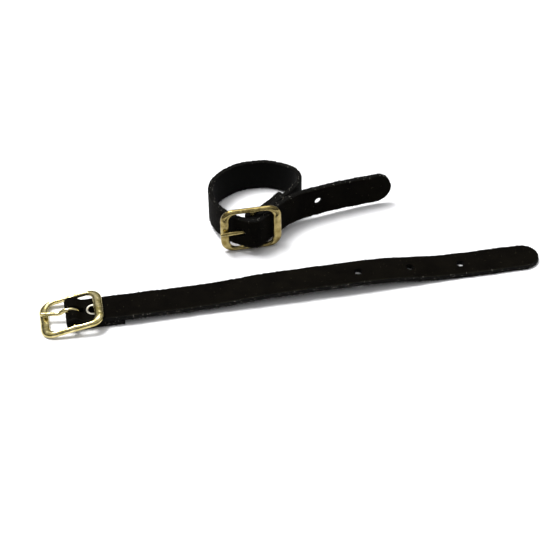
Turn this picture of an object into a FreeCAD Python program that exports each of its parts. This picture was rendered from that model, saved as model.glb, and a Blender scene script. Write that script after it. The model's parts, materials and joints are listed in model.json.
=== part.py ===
"""Pair of leather wrist buckle straps: strap A lies open, strap B is buckled and stands on its edge.

Leather and rivets are drawn in a profile plane: X runs along the strap from the buckle's centre bar,
Y points to the flesh side (towards the wrist) and Z runs across the strap. Frames and tongues are
drawn with X along the strap, Y across it and Z out of the grain side. Millimetres throughout.
"""
import FreeCAD, Part
import math
import os
import Sketcher
from FreeCAD import Placement, Rotation, Vector

SIZES = (
    ("strap_width", 16.0, "width of the leather strap"),
    ("strap_thick", 2.4, "thickness of the leather"),
    ("fold_to_first", 136.0, "centre bar to the first tongue hole, along the strap"),
    ("hole_pitch", 25.4, "spacing of the tongue holes"),
    ("hole_count", 3, "number of tongue holes"),
    ("tip_margin", 39.0, "last tongue hole to the tip"),
    ("hole_dia", 4.0, "tongue hole in the strap"),
    ("tip_corner", 7.9, "corner radius of the rounded tip"),
    ("tab_length", 23.0, "turned-back tab, from the centre bar to its end"),
    ("lap_gap", 0.1, "between two layers that lie on each other"),
    ("crease_radius", 5.0, "centreline radius where a layer bends off the fold"),
    ("slot_width", 3.2, "slot in the fold for the tongue"),
    ("slot_reach", 5.0, "slot's end beyond the centre bar"),
    ("flex_gap", 0.4, "parting between two flex sections"),
    ("rest_gap", 0.12, "between pieces that rest on each other, and above the ground"),
    ("arch_high", 3.8, "how far the middle of the open strap stands off the ground"),
    ("dip_high", 2.0, "height of the dip behind the tab"),
    ("frame_front", 15.8, "centre bar to the outside of the front bar"),
    ("frame_rear", 14.2, "centre bar to the outside of the rear bar"),
    ("front_bar", 4.0, "width of the front bar, which carries the tongue"),
    ("rear_bar", 3.6, "width of the rear bar"),
    ("rail_width", 1.8, "width of the two side rails"),
    ("frame_clear", 2.0, "each side of the strap to the rail"),
    ("frame_thick", 2.4, "thickness of the cast frame"),
    ("frame_corner", 6.0, "outer corner radius of the frame"),
    ("frame_bevel", 0.7, "bevel round the frame's upper edges"),
    ("bar_dia", 2.4, "centre bar"),
    ("pivot_gap", 0.08, "radial running clearance on the centre bar"),
    ("wire_dia", 2.0, "tongue wire"),
    ("tongue_over", 0.6, "tongue's tip beyond the front bar"),
    ("pass_gap", 0.1, "strap to the bars that it passes under"),
    ("rivet_place", 9.4, "rivet's axis beyond the centre bar"),
    ("rivet_flange", 7.4, "outer diameter of the rivet's ring and base"),
    ("rivet_barrel", 5.0, "outer diameter of the rivet's barrel"),
    ("rivet_bore", 4.2, "open centre of the rivet"),
    ("rivet_sheet", 0.5, "thickness of the rivet's flanges"),
    ("rivet_proud", 0.1, "rivet's ring above the grain side"),
    ("rivet_gap", 0.05, "rivet to leather"),
    ("hole_pull", 5.0, "first hole ahead of the hump over the fold, strap B"),
    ("loop_side", "=fold_to_first * 13 / 136", "centreline radius of the loop's tight side"),
    ("loop_front", "=fold_to_first * 30 / 136", "centreline radius where the loop comes back to the buckle"),
    ("tail_curl", 35.0, "centreline radius of the tail as it leaves the buckle"),
    ("tail_ease", 260.0, "centreline radius of the tail towards its tip"),
    ("strap_b_x", 91.0, "buckled strap's centre bar along the open strap"),
    ("strap_b_y", 35.0, "buckled strap's centre bar behind the open strap"),
)
FLEX_SECTIONS = 5
LOOP_SIDE_TURN = math.radians(90)
LOOP_FRONT_TURN = math.radians(55)
TAIL_TURNS = (math.radians(12), math.radians(18), math.radians(8))
TINY = 1e-9

doc = FreeCAD.newDocument("wrist_straps")
sheet = doc.addObject("Spreadsheet::Sheet", "Sizes")
for row, (alias, value, note) in enumerate(SIZES, start=1):
    sheet.set(f"A{row}", alias)
    sheet.set(f"B{row}", str(value))
    sheet.set(f"C{row}", note)
    sheet.setAlias(f"B{row}", alias)
doc.recompute()


def size(alias):
    """A driving dimension, read from the sheet."""
    return float(sheet.get(alias))


# ---------------------------------------------------------------- derived sizes
half_thick = size("strap_thick") / 2
bar_radius = size("bar_dia") / 2
fold_inner = bar_radius + size("pivot_gap")
fold_mid = fold_inner + half_thick
fold_outer = fold_inner + size("strap_thick")
layer_step = size("strap_thick") + size("lap_gap")
strap_reach = size("fold_to_first") + (size("hole_count") - 1) * size("hole_pitch") + size("tip_margin")
front_inner = size("frame_front") - size("front_bar")
rear_inner = size("frame_rear") - size("rear_bar")
frame_half_width = size("strap_width") / 2 + size("frame_clear") + size("rail_width")
window_corner = size("frame_corner") - size("rail_width")
# The window's rounded corners reach this far in from the bars at the strap's edges.
corner_inset = window_corner - math.sqrt(window_corner ** 2 - max(0.0, window_corner - size("frame_clear")) ** 2)

# Strap A lies with its fold and tab on the ground: the frame's underside runs from the ground at the
# front bar's edge up to the rivet's ring under the rear bar's inner edge.
bar_height_a = size("rest_gap") + fold_outer
lap_top_a = size("rest_gap") + 2 * size("strap_thick") + size("lap_gap") + size("rivet_proud")
frame_tilt_a = math.asin(lap_top_a / (size("frame_front") + rear_inner))
frame_under = (fold_outer - size("frame_front") * math.sin(frame_tilt_a)) / math.cos(frame_tilt_a)
frame_top = size("frame_thick") - frame_under

# Strap B's free end passes under both bars and humps over the fold between them.
hump_inner = fold_outer + 1.5 * size("lap_gap")
hump_mid = hump_inner + half_thick
hump_outer = hump_inner + size("strap_thick")


def slope_under(reach):
    """Angle at which the strap, tangent to the hump, just clears the bar edge at this reach."""
    edge = math.hypot(reach, frame_under)
    return math.asin((hump_outer + size("pass_gap")) / edge) + math.atan2(frame_under, reach)


entry_slope = slope_under(front_inner - corner_inset)
exit_slope = slope_under(rear_inner - corner_inset)


class Path:
    """A flat centreline of straights and arcs; the grain side is on its right."""

    def __init__(self, x, y, heading):
        self.x, self.y, self.heading = x, y, heading
        self.spans = []
        self.length = 0.0
        self.zero = 0.0

    def run(self, length, turn=0.0):
        """Goes on by a length, turning left by an angle on the way."""
        if length > TINY:
            self.spans.append((self.x, self.y, self.heading, length, turn))
            self.x, self.y, self.heading = self.step(self.spans[-1], length)
            self.length += length
        return self

    def arc(self, radius, turn):
        return self.run(radius * abs(turn), turn)

    def ease(self, along, sideways):
        """Shifts the path sideways, to its left, with two equal and opposite arcs."""
        turn = 2 * math.atan2(sideways, along)
        radius = abs(along / (2 * math.sin(turn)))
        return self.arc(radius, turn).arc(radius, -turn)

    def mark_zero(self):
        """Stations along the strap are measured from here."""
        self.zero = self.length
        return self

    @staticmethod
    def step(span, along):
        x, y, heading, length, turn = span
        if abs(turn) < TINY:
            return x + along * math.cos(heading), y + along * math.sin(heading), heading
        radius = length / turn
        end = heading + turn * along / length
        return (x + radius * (math.sin(end) - math.sin(heading)),
                y + radius * (math.cos(heading) - math.cos(end)), end)

    def at(self, station):
        """Point, heading and grain-side normal at a station."""
        left = min(station + self.zero, self.length - TINY)
        for span in self.spans:
            if left <= span[3]:
                break
            left -= span[3]
        x, y, heading = self.step(span, left)
        return Vector(x, y, 0), heading, Vector(math.sin(heading), -math.cos(heading), 0)

    def between(self, start, stop):
        """The stretch from one station to another."""
        part = None
        done = -self.zero
        for span in self.spans:
            first, last = max(start - done, 0), min(stop - done, span[3])
            if last - first > TINY:
                if part is None:
                    part = Path(*self.step(span, first))
                    part.zero = -max(start, -self.zero)
                part.run(last - first, span[4] * (last - first) / span[3])
            done += span[3]
        return part

    def side(self, offset):
        """Edges of the line that runs beside the path, on its right by the offset."""
        edges = []
        for span in self.spans:
            points = []
            for along in (0, span[3] / 2, span[3]):
                x, y, heading = self.step(span, along)
                points.append(Vector(x + offset * math.sin(heading), y - offset * math.cos(heading), 0))
            straight = abs(span[4]) < TINY
            edges.append(Part.LineSegment(points[0], points[2]) if straight else Part.Arc(*points))
        return edges

    def outline(self, half):
        """Closed outline of the band of this half thickness."""
        right, left = self.side(half), self.side(-half)
        caps = [Part.LineSegment(right[-1].EndPoint, end_point(left[-1], right[-1].EndPoint, half)),
                Part.LineSegment(end_point(left[0], right[0].StartPoint, half), right[0].StartPoint)]
        return right + left + caps

    def back(self, samples=90):
        """Largest Y that the path reaches."""
        steps = (self.length * i / samples - self.zero for i in range(samples + 1))
        return max(self.at(station)[0].y for station in steps)


def end_point(edge, partner, half):
    """The end of an edge that faces a point across the band."""
    ends = (edge.StartPoint, edge.EndPoint)
    return min(ends, key=lambda point: abs(point.distanceToPoint(partner) - 2 * half))


# ---------------------------------------------------------------- PartDesign helpers
def new_body(label):
    body = doc.addObject("PartDesign::Body", label)
    body.Label = label
    return body


def plane(body, role):
    return next(feature for feature in body.Origin.OriginFeatures if feature.Role == role)


def new_sketch(body, role, name, offset=None):
    sketch = body.newObject("Sketcher::SketchObject", f"{body.Label}_{name}")
    sketch.AttachmentSupport = [(plane(body, role), "")]
    sketch.MapMode = "FlatFace"
    if offset is not None:
        sketch.AttachmentOffset = offset
    return sketch


def new_pad(body, sketch, name, length):
    """Pads a sketch both ways by a sheet expression."""
    pad = body.newObject("PartDesign::Pad", f"{body.Label}_{name}")
    pad.Profile = sketch
    pad.SideType = "Symmetric"
    pad.setExpression("Length", length)
    doc.recompute()
    return pad


def new_pocket(body, sketch, name, length):
    """Cuts a sketch both ways by a sheet expression, and checks that it cut something."""
    before = body.Shape.Volume
    pocket = body.newObject("PartDesign::Pocket", f"{body.Label}_{name}")
    pocket.Profile = sketch
    pocket.SideType = "Symmetric"
    pocket.setExpression("Length", length)
    doc.recompute()
    if body.Shape.Volume > before - TINY:
        raise RuntimeError(f"{pocket.Name} cuts nothing")
    return pocket


def circle_in(sketch, diameter):
    """A circle at the sketch's origin with its diameter bound to the sheet."""
    index = sketch.addGeometry(Part.Circle(Vector(), Vector(0, 0, 1), 1.0))
    bound = sketch.addConstraint(Sketcher.Constraint("Diameter", index, 2.0))
    sketch.setExpression(f"Constraints[{bound}]", diameter)


def punch(body, name, point, normal, diameter, depth):
    """A round cut through a point along a normal, reaching half the depth each way."""
    turn = Rotation(Vector(0, 0, 1), normal)
    sketch = new_sketch(body, "XY_Plane", f"{name}_sketch", Placement(point, turn))
    circle_in(sketch, diameter)
    return new_pocket(body, sketch, name, depth)


def rounded_rectangle(x_low, x_high, half_width, radius):
    """Edges of a rectangle with rounded corners."""
    edges = []
    corners = ((x_high - radius, half_width - radius, 0), (x_low + radius, half_width - radius, 90),
               (x_low + radius, radius - half_width, 180), (x_high - radius, radius - half_width, 270))
    arcs = []
    for x, y, start in corners:
        circle = Part.Circle(Vector(x, y, 0), Vector(0, 0, 1), radius)
        arcs.append(Part.ArcOfCircle(circle, math.radians(start), math.radians(start + 90)))
    for i in range(4):
        edges.append(arcs[i])
        edges.append(Part.LineSegment(arcs[i].EndPoint, arcs[(i + 1) % 4].StartPoint))
    return edges


def edges_where(shape, test):
    """Names of a shape's edges that pass a test."""
    return [f"Edge{i}" for i, edge in enumerate(shape.Edges, start=1) if test(edge)]


# ---------------------------------------------------------------- leather
def fold_path(grain_layer, tab_layer, turned=0.0):
    """Tab, fold round the centre bar and grain layer, whose centrelines lie at these Y values."""
    blend = fold_mid + size("crease_radius")
    tab_bend = math.acos(min(1.0, (size("crease_radius") + tab_layer) / blend))
    grain_bend = math.acos(min(1.0, (size("crease_radius") - grain_layer) / blend))
    tab_end = Rotation(Vector(0, 0, 1), math.degrees(turned)).multVec(Vector(size("tab_length"), tab_layer, 0))
    path = Path(tab_end.x, tab_end.y, math.pi + turned)
    path.run(size("tab_length") - blend * math.sin(tab_bend))
    path.arc(size("crease_radius"), -tab_bend)
    path.arc(fold_mid, math.pi + tab_bend).mark_zero()
    return path.arc(fold_mid, grain_bend).arc(size("crease_radius"), -grain_bend)


def open_path():
    """Strap A: flat tab, a shallow dip, a low arch and a flat tip."""
    path = fold_path(fold_mid - layer_step, fold_mid)
    lap_high = layer_step
    path.run(size("tab_length") + 3 - (path.length - path.zero))
    path.ease(30, lap_high - size("dip_high"))
    path.ease(45, size("dip_high") - size("arch_high"))
    path.run(32)
    path.ease(60, size("arch_high"))
    return path.run(strap_reach - (path.length - path.zero))


def arc_vector(heading, turn):
    """Where an arc of unit radius leads."""
    return (math.sin(heading + turn) - math.sin(heading), math.cos(heading) - math.cos(heading + turn))


def solve_three(rows, values):
    """Three linear equations by Cramer's rule."""
    def det(m):
        return (m[0][0] * (m[1][1] * m[2][2] - m[1][2] * m[2][1])
                - m[0][1] * (m[1][0] * m[2][2] - m[1][2] * m[2][0])
                + m[0][2] * (m[1][0] * m[2][1] - m[1][1] * m[2][0]))
    base = det(rows)
    swapped = ([[values[r] if c == k else rows[r][c] for c in range(3)] for r in range(3)] for k in range(3))
    return [det(matrix) / base for matrix in swapped]


def buckled_path():
    """Strap B: round the wrist and back under the buckle, with the first hole on the tongue."""
    path = fold_path(-fold_mid, layer_step - fold_mid, exit_slope)
    back_turn = 2 * math.pi - entry_slope - exit_slope - LOOP_SIDE_TURN - LOOP_FRONT_TURN
    side = arc_vector(exit_slope, LOOP_SIDE_TURN)
    back = arc_vector(exit_slope + LOOP_SIDE_TURN, back_turn)
    front = arc_vector(exit_slope + LOOP_SIDE_TURN + back_turn, LOOP_FRONT_TURN)
    away = (math.cos(exit_slope), math.sin(exit_slope))
    home = (math.cos(entry_slope), -math.sin(entry_slope))
    target = (-hump_mid * math.sin(entry_slope), -hump_mid * math.cos(entry_slope))
    known = [size("loop_side") * side[i] + size("loop_front") * front[i] for i in (0, 1)]
    to_hump = size("fold_to_first") + size("hole_pull") - (path.length - path.zero)
    arcs_run = size("loop_side") * LOOP_SIDE_TURN + size("loop_front") * LOOP_FRONT_TURN
    first, back_radius, last = solve_three(
        [[away[0], back[0], home[0]], [away[1], back[1], home[1]], [1, back_turn, 1]],
        [target[0] - path.x - known[0], target[1] - path.y - known[1], to_hump - arcs_run])
    path.run(first).arc(size("loop_side"), LOOP_SIDE_TURN).arc(back_radius, back_turn)
    path.arc(size("loop_front"), LOOP_FRONT_TURN).run(last)
    path.arc(hump_mid, entry_slope + exit_slope)
    clear_bar = size("frame_rear") / math.cos(exit_slope) - hump_mid * math.tan(exit_slope)
    path.run(clear_bar).arc(size("tail_curl"), -TAIL_TURNS[0])
    hinge = path.length - path.zero
    path.arc(size("tail_curl"), -TAIL_TURNS[1]).arc(size("tail_ease"), -TAIL_TURNS[2])
    return path.run(strap_reach - (path.length - path.zero)), hinge


def strap_section(label, path, start, stop, placement):
    """Flat band of leather between two stations."""
    body = new_body(label)
    sketch = new_sketch(body, "XY_Plane", "profile")
    sketch.addGeometry(path.between(start, stop).outline(half_thick))
    new_pad(body, sketch, "leather", "Sizes.strap_width")
    body.Placement = placement
    return body


def cut_holes(body, path, start, stop):
    """The tongue holes that lie between two stations."""
    for i in range(int(size("hole_count"))):
        station = size("fold_to_first") + i * size("hole_pitch")
        if start < station < stop:
            point, _, normal = path.at(station)
            punch(body, f"hole_{i + 1}", point, normal, "Sizes.hole_dia", "Sizes.strap_thick * 3")


def round_tip(body, path):
    """Rounds the tip's two corners across the strap."""
    tip = path.at(strap_reach)[0]

    def at_tip(edge):
        middle = edge.CenterOfMass
        across = abs(abs(middle.z) - size("strap_width") / 2) < 1e-4
        return across and Vector(middle.x, middle.y, 0).distanceToPoint(tip) < 1e-3

    base = body.Tip
    fillet = body.newObject("PartDesign::Fillet", f"{body.Label}_tip")
    fillet.Base = (base, edges_where(base.Shape, at_tip))
    fillet.setExpression("Radius", "min(Sizes.tip_corner; Sizes.strap_width / 2 - 0.05)")
    doc.recompute()


def finish_fold(body, path, turned):
    """Cuts the tongue's slot and the rivet's seat in a strap's folded end, and nothing outside the fold."""
    turn = Rotation(Vector(0, 0, 1), math.degrees(turned))
    slot = new_sketch(body, "XY_Plane", "slot_sketch", Placement(Vector(), turn))
    reach = fold_outer + size("lap_gap") / 2
    front = Part.ArcOfCircle(Part.Circle(Vector(), Vector(0, 0, 1), reach), math.pi / 2, 3 * math.pi / 2)
    corners = [Vector(0, -reach, 0), Vector(size("slot_reach"), -reach, 0),
               Vector(size("slot_reach"), reach, 0), Vector(0, reach, 0)]
    slot.addGeometry([front] + [Part.LineSegment(corners[i], corners[i + 1]) for i in range(3)])
    new_pocket(body, slot, "slot", "Sizes.slot_width")
    grain_side, base_side = rivet_ends(path)
    normal = (grain_side - base_side).normalize()
    middle = (grain_side + base_side) * 0.5
    punch(body, "rivet_hole", middle, normal, "Sizes.rivet_barrel + 2 * Sizes.rivet_gap",
          "2 * (Sizes.strap_thick + Sizes.lap_gap)")
    flange = "Sizes.rivet_flange + 2 * Sizes.rivet_gap"
    seat = size("rivet_sheet") - size("rivet_proud")
    seat_middle = grain_side - normal * (seat / 2 - size("lap_gap") / 4)
    punch(body, "ring_seat", seat_middle, normal, flange, "Sizes.rivet_sheet - Sizes.rivet_proud + Sizes.lap_gap / 2")
    punch(body, "base_seat", base_side, normal, flange, "2 * Sizes.rivet_sheet")


def rivet_ends(path):
    """Where the rivet's axis meets the grain side and the tab's outer side."""
    station = size("rivet_place")
    for _ in range(20):
        point, heading, normal = path.at(station)
        station += size("rivet_place") - (point.x * math.cos(heading) + point.y * math.sin(heading))
    grain_side = point + normal * half_thick
    return grain_side, grain_side - normal * (layer_step + size("strap_thick"))


# ---------------------------------------------------------------- brass
def make_frame(label, placement):
    """Cast centre-bar buckle frame, its centre bar on the Y axis."""
    body = new_body(label)
    level = Placement(Vector(0, 0, frame_top - size("frame_thick") / 2), Rotation())
    outer = new_sketch(body, "XY_Plane", "outer", level)
    outer.addGeometry(rounded_rectangle(-size("frame_front"), size("frame_rear"), frame_half_width,
                                        size("frame_corner")))
    new_pad(body, outer, "plate", "Sizes.frame_thick")
    window = new_sketch(body, "XY_Plane", "inner", level)
    window.addGeometry(rounded_rectangle(-front_inner, rear_inner, frame_half_width - size("rail_width"),
                                         window_corner))
    new_pocket(body, window, "window", "Sizes.frame_thick * 2")

    def on_top(edge):
        return abs(edge.BoundBox.ZMin - frame_top) < 1e-4 and abs(edge.BoundBox.ZMax - frame_top) < 1e-4

    base = body.Tip
    bevel = body.newObject("PartDesign::Chamfer", f"{label}_bevel")
    bevel.Base = (base, edges_where(base.Shape, on_top))
    bevel.setExpression("Size", "Sizes.frame_bevel")
    doc.recompute()
    bar = new_sketch(body, "XZ_Plane", "bar_section")
    circle_in(bar, "Sizes.bar_dia")
    new_pad(body, bar, "bar", "Sizes.strap_width + 2 * Sizes.frame_clear + Sizes.rail_width")
    body.Placement = placement
    return body


def tongue_line():
    """Slope of the tongue, from the wire's turn round the centre bar to the front bar's top."""
    wire_radius = size("wire_dia") / 2
    turn_radius = fold_inner + wire_radius
    height = frame_top + size("rest_gap") + wire_radius
    reach = size("frame_front") - size("front_bar") / 2
    span = math.hypot(reach, height)
    slope = math.asin(turn_radius / span) - math.atan2(height, reach)
    return turn_radius, -slope


def make_tongue(label, placement):
    """Wire tongue: a turn round the centre bar, then straight across the front bar."""
    turn_radius, slope = tongue_line()
    body = new_body(label)
    route = new_sketch(body, "XZ_Plane", "route")
    start = Vector(turn_radius * math.sin(slope), turn_radius * math.cos(slope), 0)
    reach = (size("frame_front") + size("tongue_over")) / math.cos(slope)
    tip = start + Vector(-math.cos(slope), math.sin(slope), 0) * reach
    circle = Part.Circle(Vector(), Vector(0, 0, 1), turn_radius)
    opening = math.pi / 2 - slope
    route.addGeometry([Part.ArcOfCircle(circle, opening - math.radians(300), opening),
                       Part.LineSegment(start, tip)])
    heading = Vector(math.cos(slope), 0, -math.sin(slope))
    at_tip = Placement(Vector(tip.x, 0, tip.y), Rotation(Vector(0, 0, 1), heading))
    section = new_sketch(body, "XY_Plane", "section", at_tip)
    circle_in(section, "Sizes.wire_dia")
    pipe = body.newObject("PartDesign::AdditivePipe", f"{label}_wire")
    pipe.Profile = section
    pipe.Spine = (route, ["Edge1", "Edge2"])
    doc.recompute()

    def at_end(edge):
        return edge.CenterOfMass.distanceToPoint(Vector(tip.x, 0, tip.y)) < 1e-3

    nose = body.newObject("PartDesign::Fillet", f"{label}_nose")
    nose.Base = (pipe, edges_where(pipe.Shape, at_end))
    nose.setExpression("Radius", "Sizes.wire_dia * 0.45")
    doc.recompute()
    body.Placement = placement
    return body


def make_rivet(label, path, lay):
    """Tubular rivet: a base disc on the flesh side and a ring on the grain side."""
    grain_side, base_side = rivet_ends(path)
    tall = (grain_side - base_side).Length + size("rivet_proud")
    flange, barrel, bore = (size(name) / 2 for name in ("rivet_flange", "rivet_barrel", "rivet_bore"))
    sheet_thick = size("rivet_sheet")
    points = [(0, 0), (flange, 0), (flange, sheet_thick), (barrel, sheet_thick), (barrel, tall - sheet_thick),
              (flange, tall - sheet_thick), (flange, tall), (bore, tall), (bore, sheet_thick), (0, sheet_thick)]
    corners = [Vector(x, y, 0) for x, y in points]
    body = new_body(label)
    section = new_sketch(body, "XZ_Plane", "section")
    section.addGeometry([Part.LineSegment(corners[i - 1], corners[i]) for i in range(len(corners))])
    turned = body.newObject("PartDesign::Revolution", f"{label}_turned")
    turned.Profile = section
    turned.ReferenceAxis = (section, ["V_Axis"])
    turned.Angle = 360
    doc.recompute()
    axis = (grain_side - base_side).normalize()
    body.Placement = lay.multiply(Placement(base_side, Rotation(Vector(0, 0, 1), axis)))
    return body


# ---------------------------------------------------------------- strap A, open
lay_a = Placement(Vector(0, 0, bar_height_a), Rotation(Vector(1, 0, 0), -90))
frame_a = Placement(Vector(0, 0, bar_height_a), Rotation(Vector(0, 1, 0), -math.degrees(frame_tilt_a)))
path_a = open_path()
lead = size("fold_to_first") - size("hole_pitch") / 2
joints_a = [lead / 3, lead * 2 / 3, lead, lead + size("hole_pitch"), lead + 2 * size("hole_pitch")]
half_gap = size("flex_gap") / 2

end_a = strap_section("strap_a_end", path_a, -path_a.zero, joints_a[0] - half_gap, lay_a)
finish_fold(end_a, path_a, 0.0)
pieces = [end_a]
for number, start in enumerate(joints_a, start=1):
    last = number == FLEX_SECTIONS
    stop = strap_reach if last else joints_a[number] - half_gap
    section = strap_section(f"strap_a_flex_{number}", path_a, start + half_gap, stop, lay_a)
    cut_holes(section, path_a, start, stop)
    if last:
        round_tip(section, path_a)
    pieces.append(section)
pieces += [make_frame("buckle_a", frame_a), make_tongue("tongue_a", frame_a), make_rivet("rivet_a", path_a, lay_a)]

# ---------------------------------------------------------------- strap B, buckled
path_b, hinge_b = buckled_path()
back_reach = path_b.back() + half_thick
stand_tilt = math.atan2(frame_half_width - size("strap_width") / 2, back_reach - frame_under)
stand_high = size("rest_gap") + frame_under * math.sin(stand_tilt) + frame_half_width * math.cos(stand_tilt)
lay_b = Placement(Vector(size("strap_b_x"), size("strap_b_y"), stand_high),
                  Rotation(Vector(1, 0, 0), -math.degrees(stand_tilt)))
frame_b = lay_b.multiply(Placement(Vector(), Rotation(Vector(1, 0, 0), 90)))

loop_b = strap_section("strap_b_loop", path_b, -path_b.zero, hinge_b - half_gap, lay_b)
finish_fold(loop_b, path_b, exit_slope)
turn_radius_b, tongue_slope = tongue_line()
tongue_way = Vector(-math.cos(tongue_slope), -math.sin(tongue_slope), 0)
hole_middle = Vector(0, -turn_radius_b, 0) + tongue_way * (front_inner / 2)
punch(loop_b, "hole_1", hole_middle, tongue_way, "Sizes.hole_dia", "Sizes.frame_front - Sizes.front_bar")
cut_holes(loop_b, path_b, size("fold_to_first") + 1, hinge_b)
tail_b = strap_section("strap_b_tail", path_b, hinge_b + half_gap, strap_reach, lay_b)
cut_holes(tail_b, path_b, hinge_b, strap_reach)
round_tip(tail_b, path_b)
pieces += [loop_b, tail_b, make_frame("buckle_b", frame_b), make_tongue("tongue_b", frame_b)]
pieces.append(make_rivet("rivet_b", path_b, lay_b))

# ---------------------------------------------------------------- origin, checks and output
# The origin is on the ground, under the middle of the pair.
doc.recompute()
extent = FreeCAD.BoundBox()
for piece in pieces:
    extent.add(piece.Shape.optimalBoundingBox())
to_origin = Placement(Vector(-extent.Center.x, -extent.Center.y, -extent.ZMin), Rotation())
for piece in pieces:
    piece.Placement = to_origin.multiply(piece.Placement)
doc.recompute()

faults = [item.Name for item in doc.Objects if {"Invalid", "Error"} & set(item.State)]
if faults:
    raise RuntimeError(f"failed objects: {faults}")
for piece in pieces:
    if piece.Shape.isNull() or not piece.Shape.isValid() or len(piece.Shape.Solids) != 1:
        raise RuntimeError(f"{piece.Label} is not one valid solid")
os.makedirs("parts", exist_ok=True)
for piece in pieces:
    piece.Shape.exportStep(f"parts/{piece.Label}.step")

# where the joints are, for the record: strap A flexes about its grain side, and so does B's tail
flex_points_a = [to_origin.multiply(lay_a).multVec(path_a.at(station)[0] + path_a.at(station)[2] * half_thick)
                 for station in joints_a]
hole_places_a = [path_a.at(size("fold_to_first") + i * size("hole_pitch")) for i in range(int(size("hole_count")))]
hole_points_a = [to_origin.multiply(lay_a).multVec(place[0]) for place in hole_places_a]
tail_point, _, tail_normal = path_b.at(hinge_b)
tail_hinge_b = to_origin.multiply(lay_b).multVec(tail_point + tail_normal * half_thick)
bar_a = to_origin.multiply(frame_a).Base
bar_b = to_origin.multiply(lay_b).Base
axis_b = lay_b.Rotation.multVec(Vector(0, 0, 1))
for name, place in (("bar_a", bar_a), ("bar_b", bar_b), ("axis_b", axis_b), ("tail_hinge_b", tail_hinge_b)):
    print(name, tuple(round(value, 4) for value in place))
for i, place in enumerate(flex_points_a, start=1):
    print(f"flex_a_{i}", tuple(round(value, 4) for value in place))
for i, place in enumerate(hole_points_a, start=1):
    print(f"hole_a_{i}", tuple(round(value, 4) for value in place))
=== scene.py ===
"""Pair of black leather wrist straps with brass centre-bar buckles, dressed over their CAD frame.

Strap A lies open. Strap B is buckled into a loop and stands on its lower edge. Each strap is one
band of leather, turned back round its buckle's centre bar and held by a tubular rivet. Sizes are in
millimetres; a mesh gets metres when it is made.
"""
import json
import logging
import math
from dataclasses import dataclass, field
from enum import Enum
from typing import Iterable, Sequence

import bmesh
import bpy
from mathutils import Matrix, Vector, noise

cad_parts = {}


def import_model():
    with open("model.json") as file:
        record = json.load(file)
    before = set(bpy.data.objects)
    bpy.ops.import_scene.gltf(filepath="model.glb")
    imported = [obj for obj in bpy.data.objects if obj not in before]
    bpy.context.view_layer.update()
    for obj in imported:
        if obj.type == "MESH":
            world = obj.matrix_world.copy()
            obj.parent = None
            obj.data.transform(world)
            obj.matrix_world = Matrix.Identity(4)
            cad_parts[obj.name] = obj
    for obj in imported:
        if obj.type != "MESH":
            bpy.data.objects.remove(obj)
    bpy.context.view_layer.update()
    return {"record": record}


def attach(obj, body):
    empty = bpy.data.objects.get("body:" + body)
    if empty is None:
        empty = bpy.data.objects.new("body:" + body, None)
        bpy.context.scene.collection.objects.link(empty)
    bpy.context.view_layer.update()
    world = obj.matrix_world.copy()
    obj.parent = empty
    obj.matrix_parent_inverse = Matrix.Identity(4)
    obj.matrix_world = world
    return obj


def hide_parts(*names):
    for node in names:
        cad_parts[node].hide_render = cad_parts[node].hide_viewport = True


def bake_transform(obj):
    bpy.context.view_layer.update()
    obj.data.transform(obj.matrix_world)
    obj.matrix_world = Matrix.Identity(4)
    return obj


MM = 0.001
LOG = logging.getLogger("wrist_straps")


# ---------------------------------------------------------------- small helpers
def linear(hex_colour: str) -> tuple[float, float, float, float]:
    """Turns an sRGB hex colour into linear RGBA.

    Args:
        hex_colour: Six hex digits, with or without a hash sign.

    Returns:
        Linear red, green and blue, and an alpha of 1.
    """
    text = hex_colour.lstrip("#")
    values = [int(text[i:i + 2], 16) / 255 for i in (0, 2, 4)]
    red, green, blue = (v / 12.92 if v <= 0.04045 else ((v + 0.055) / 1.055) ** 2.4 for v in values)
    return red, green, blue, 1.0


def feed(tree: bpy.types.NodeTree, node: bpy.types.Node, inputs: dict) -> None:
    """Sets a node's inputs.

    Args:
        tree: The node's tree.
        node: The node.
        inputs: Input name or index to a plain value, or to the output socket that feeds it.
    """
    for name, value in inputs.items():
        if isinstance(value, bpy.types.NodeSocket):
            tree.links.new(value, node.inputs[name])
        else:
            node.inputs[name].default_value = value


def add_node(tree: bpy.types.NodeTree, kind: str, settings: dict | None = None,
             inputs: dict | None = None) -> bpy.types.Node:
    """Adds a node to a shader or geometry tree.

    Args:
        tree: The tree that gets the node.
        kind: The node's type name.
        settings: Properties to set on the node.
        inputs: Input name or index to a plain value, or to the output socket that feeds it.

    Returns:
        The new node.
    """
    node = tree.nodes.new(kind)
    for name, value in (settings or {}).items():
        setattr(node, name, value)
    feed(tree, node, inputs or {})
    return node


def add_ramp(tree: bpy.types.NodeTree, fac: bpy.types.NodeSocket,
             stops: Sequence[tuple[float, str | float]]) -> bpy.types.NodeSocket:
    """Adds a colour ramp, fed by a socket.

    Args:
        tree: The tree that gets the node.
        fac: What the ramp reads.
        stops: Position, and hex colour or grey value, of each stop.

    Returns:
        The ramp's colour output.
    """
    ramp = add_node(tree, "ShaderNodeValToRGB", inputs={"Fac": fac})
    elements = ramp.color_ramp.elements
    while len(elements) < len(stops):
        elements.new(0.5)
    for element, (place, colour) in zip(elements, stops):
        element.position = place
        element.color = linear(colour) if isinstance(colour, str) else (colour, colour, colour, 1.0)
    return ramp.outputs["Color"]


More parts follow.
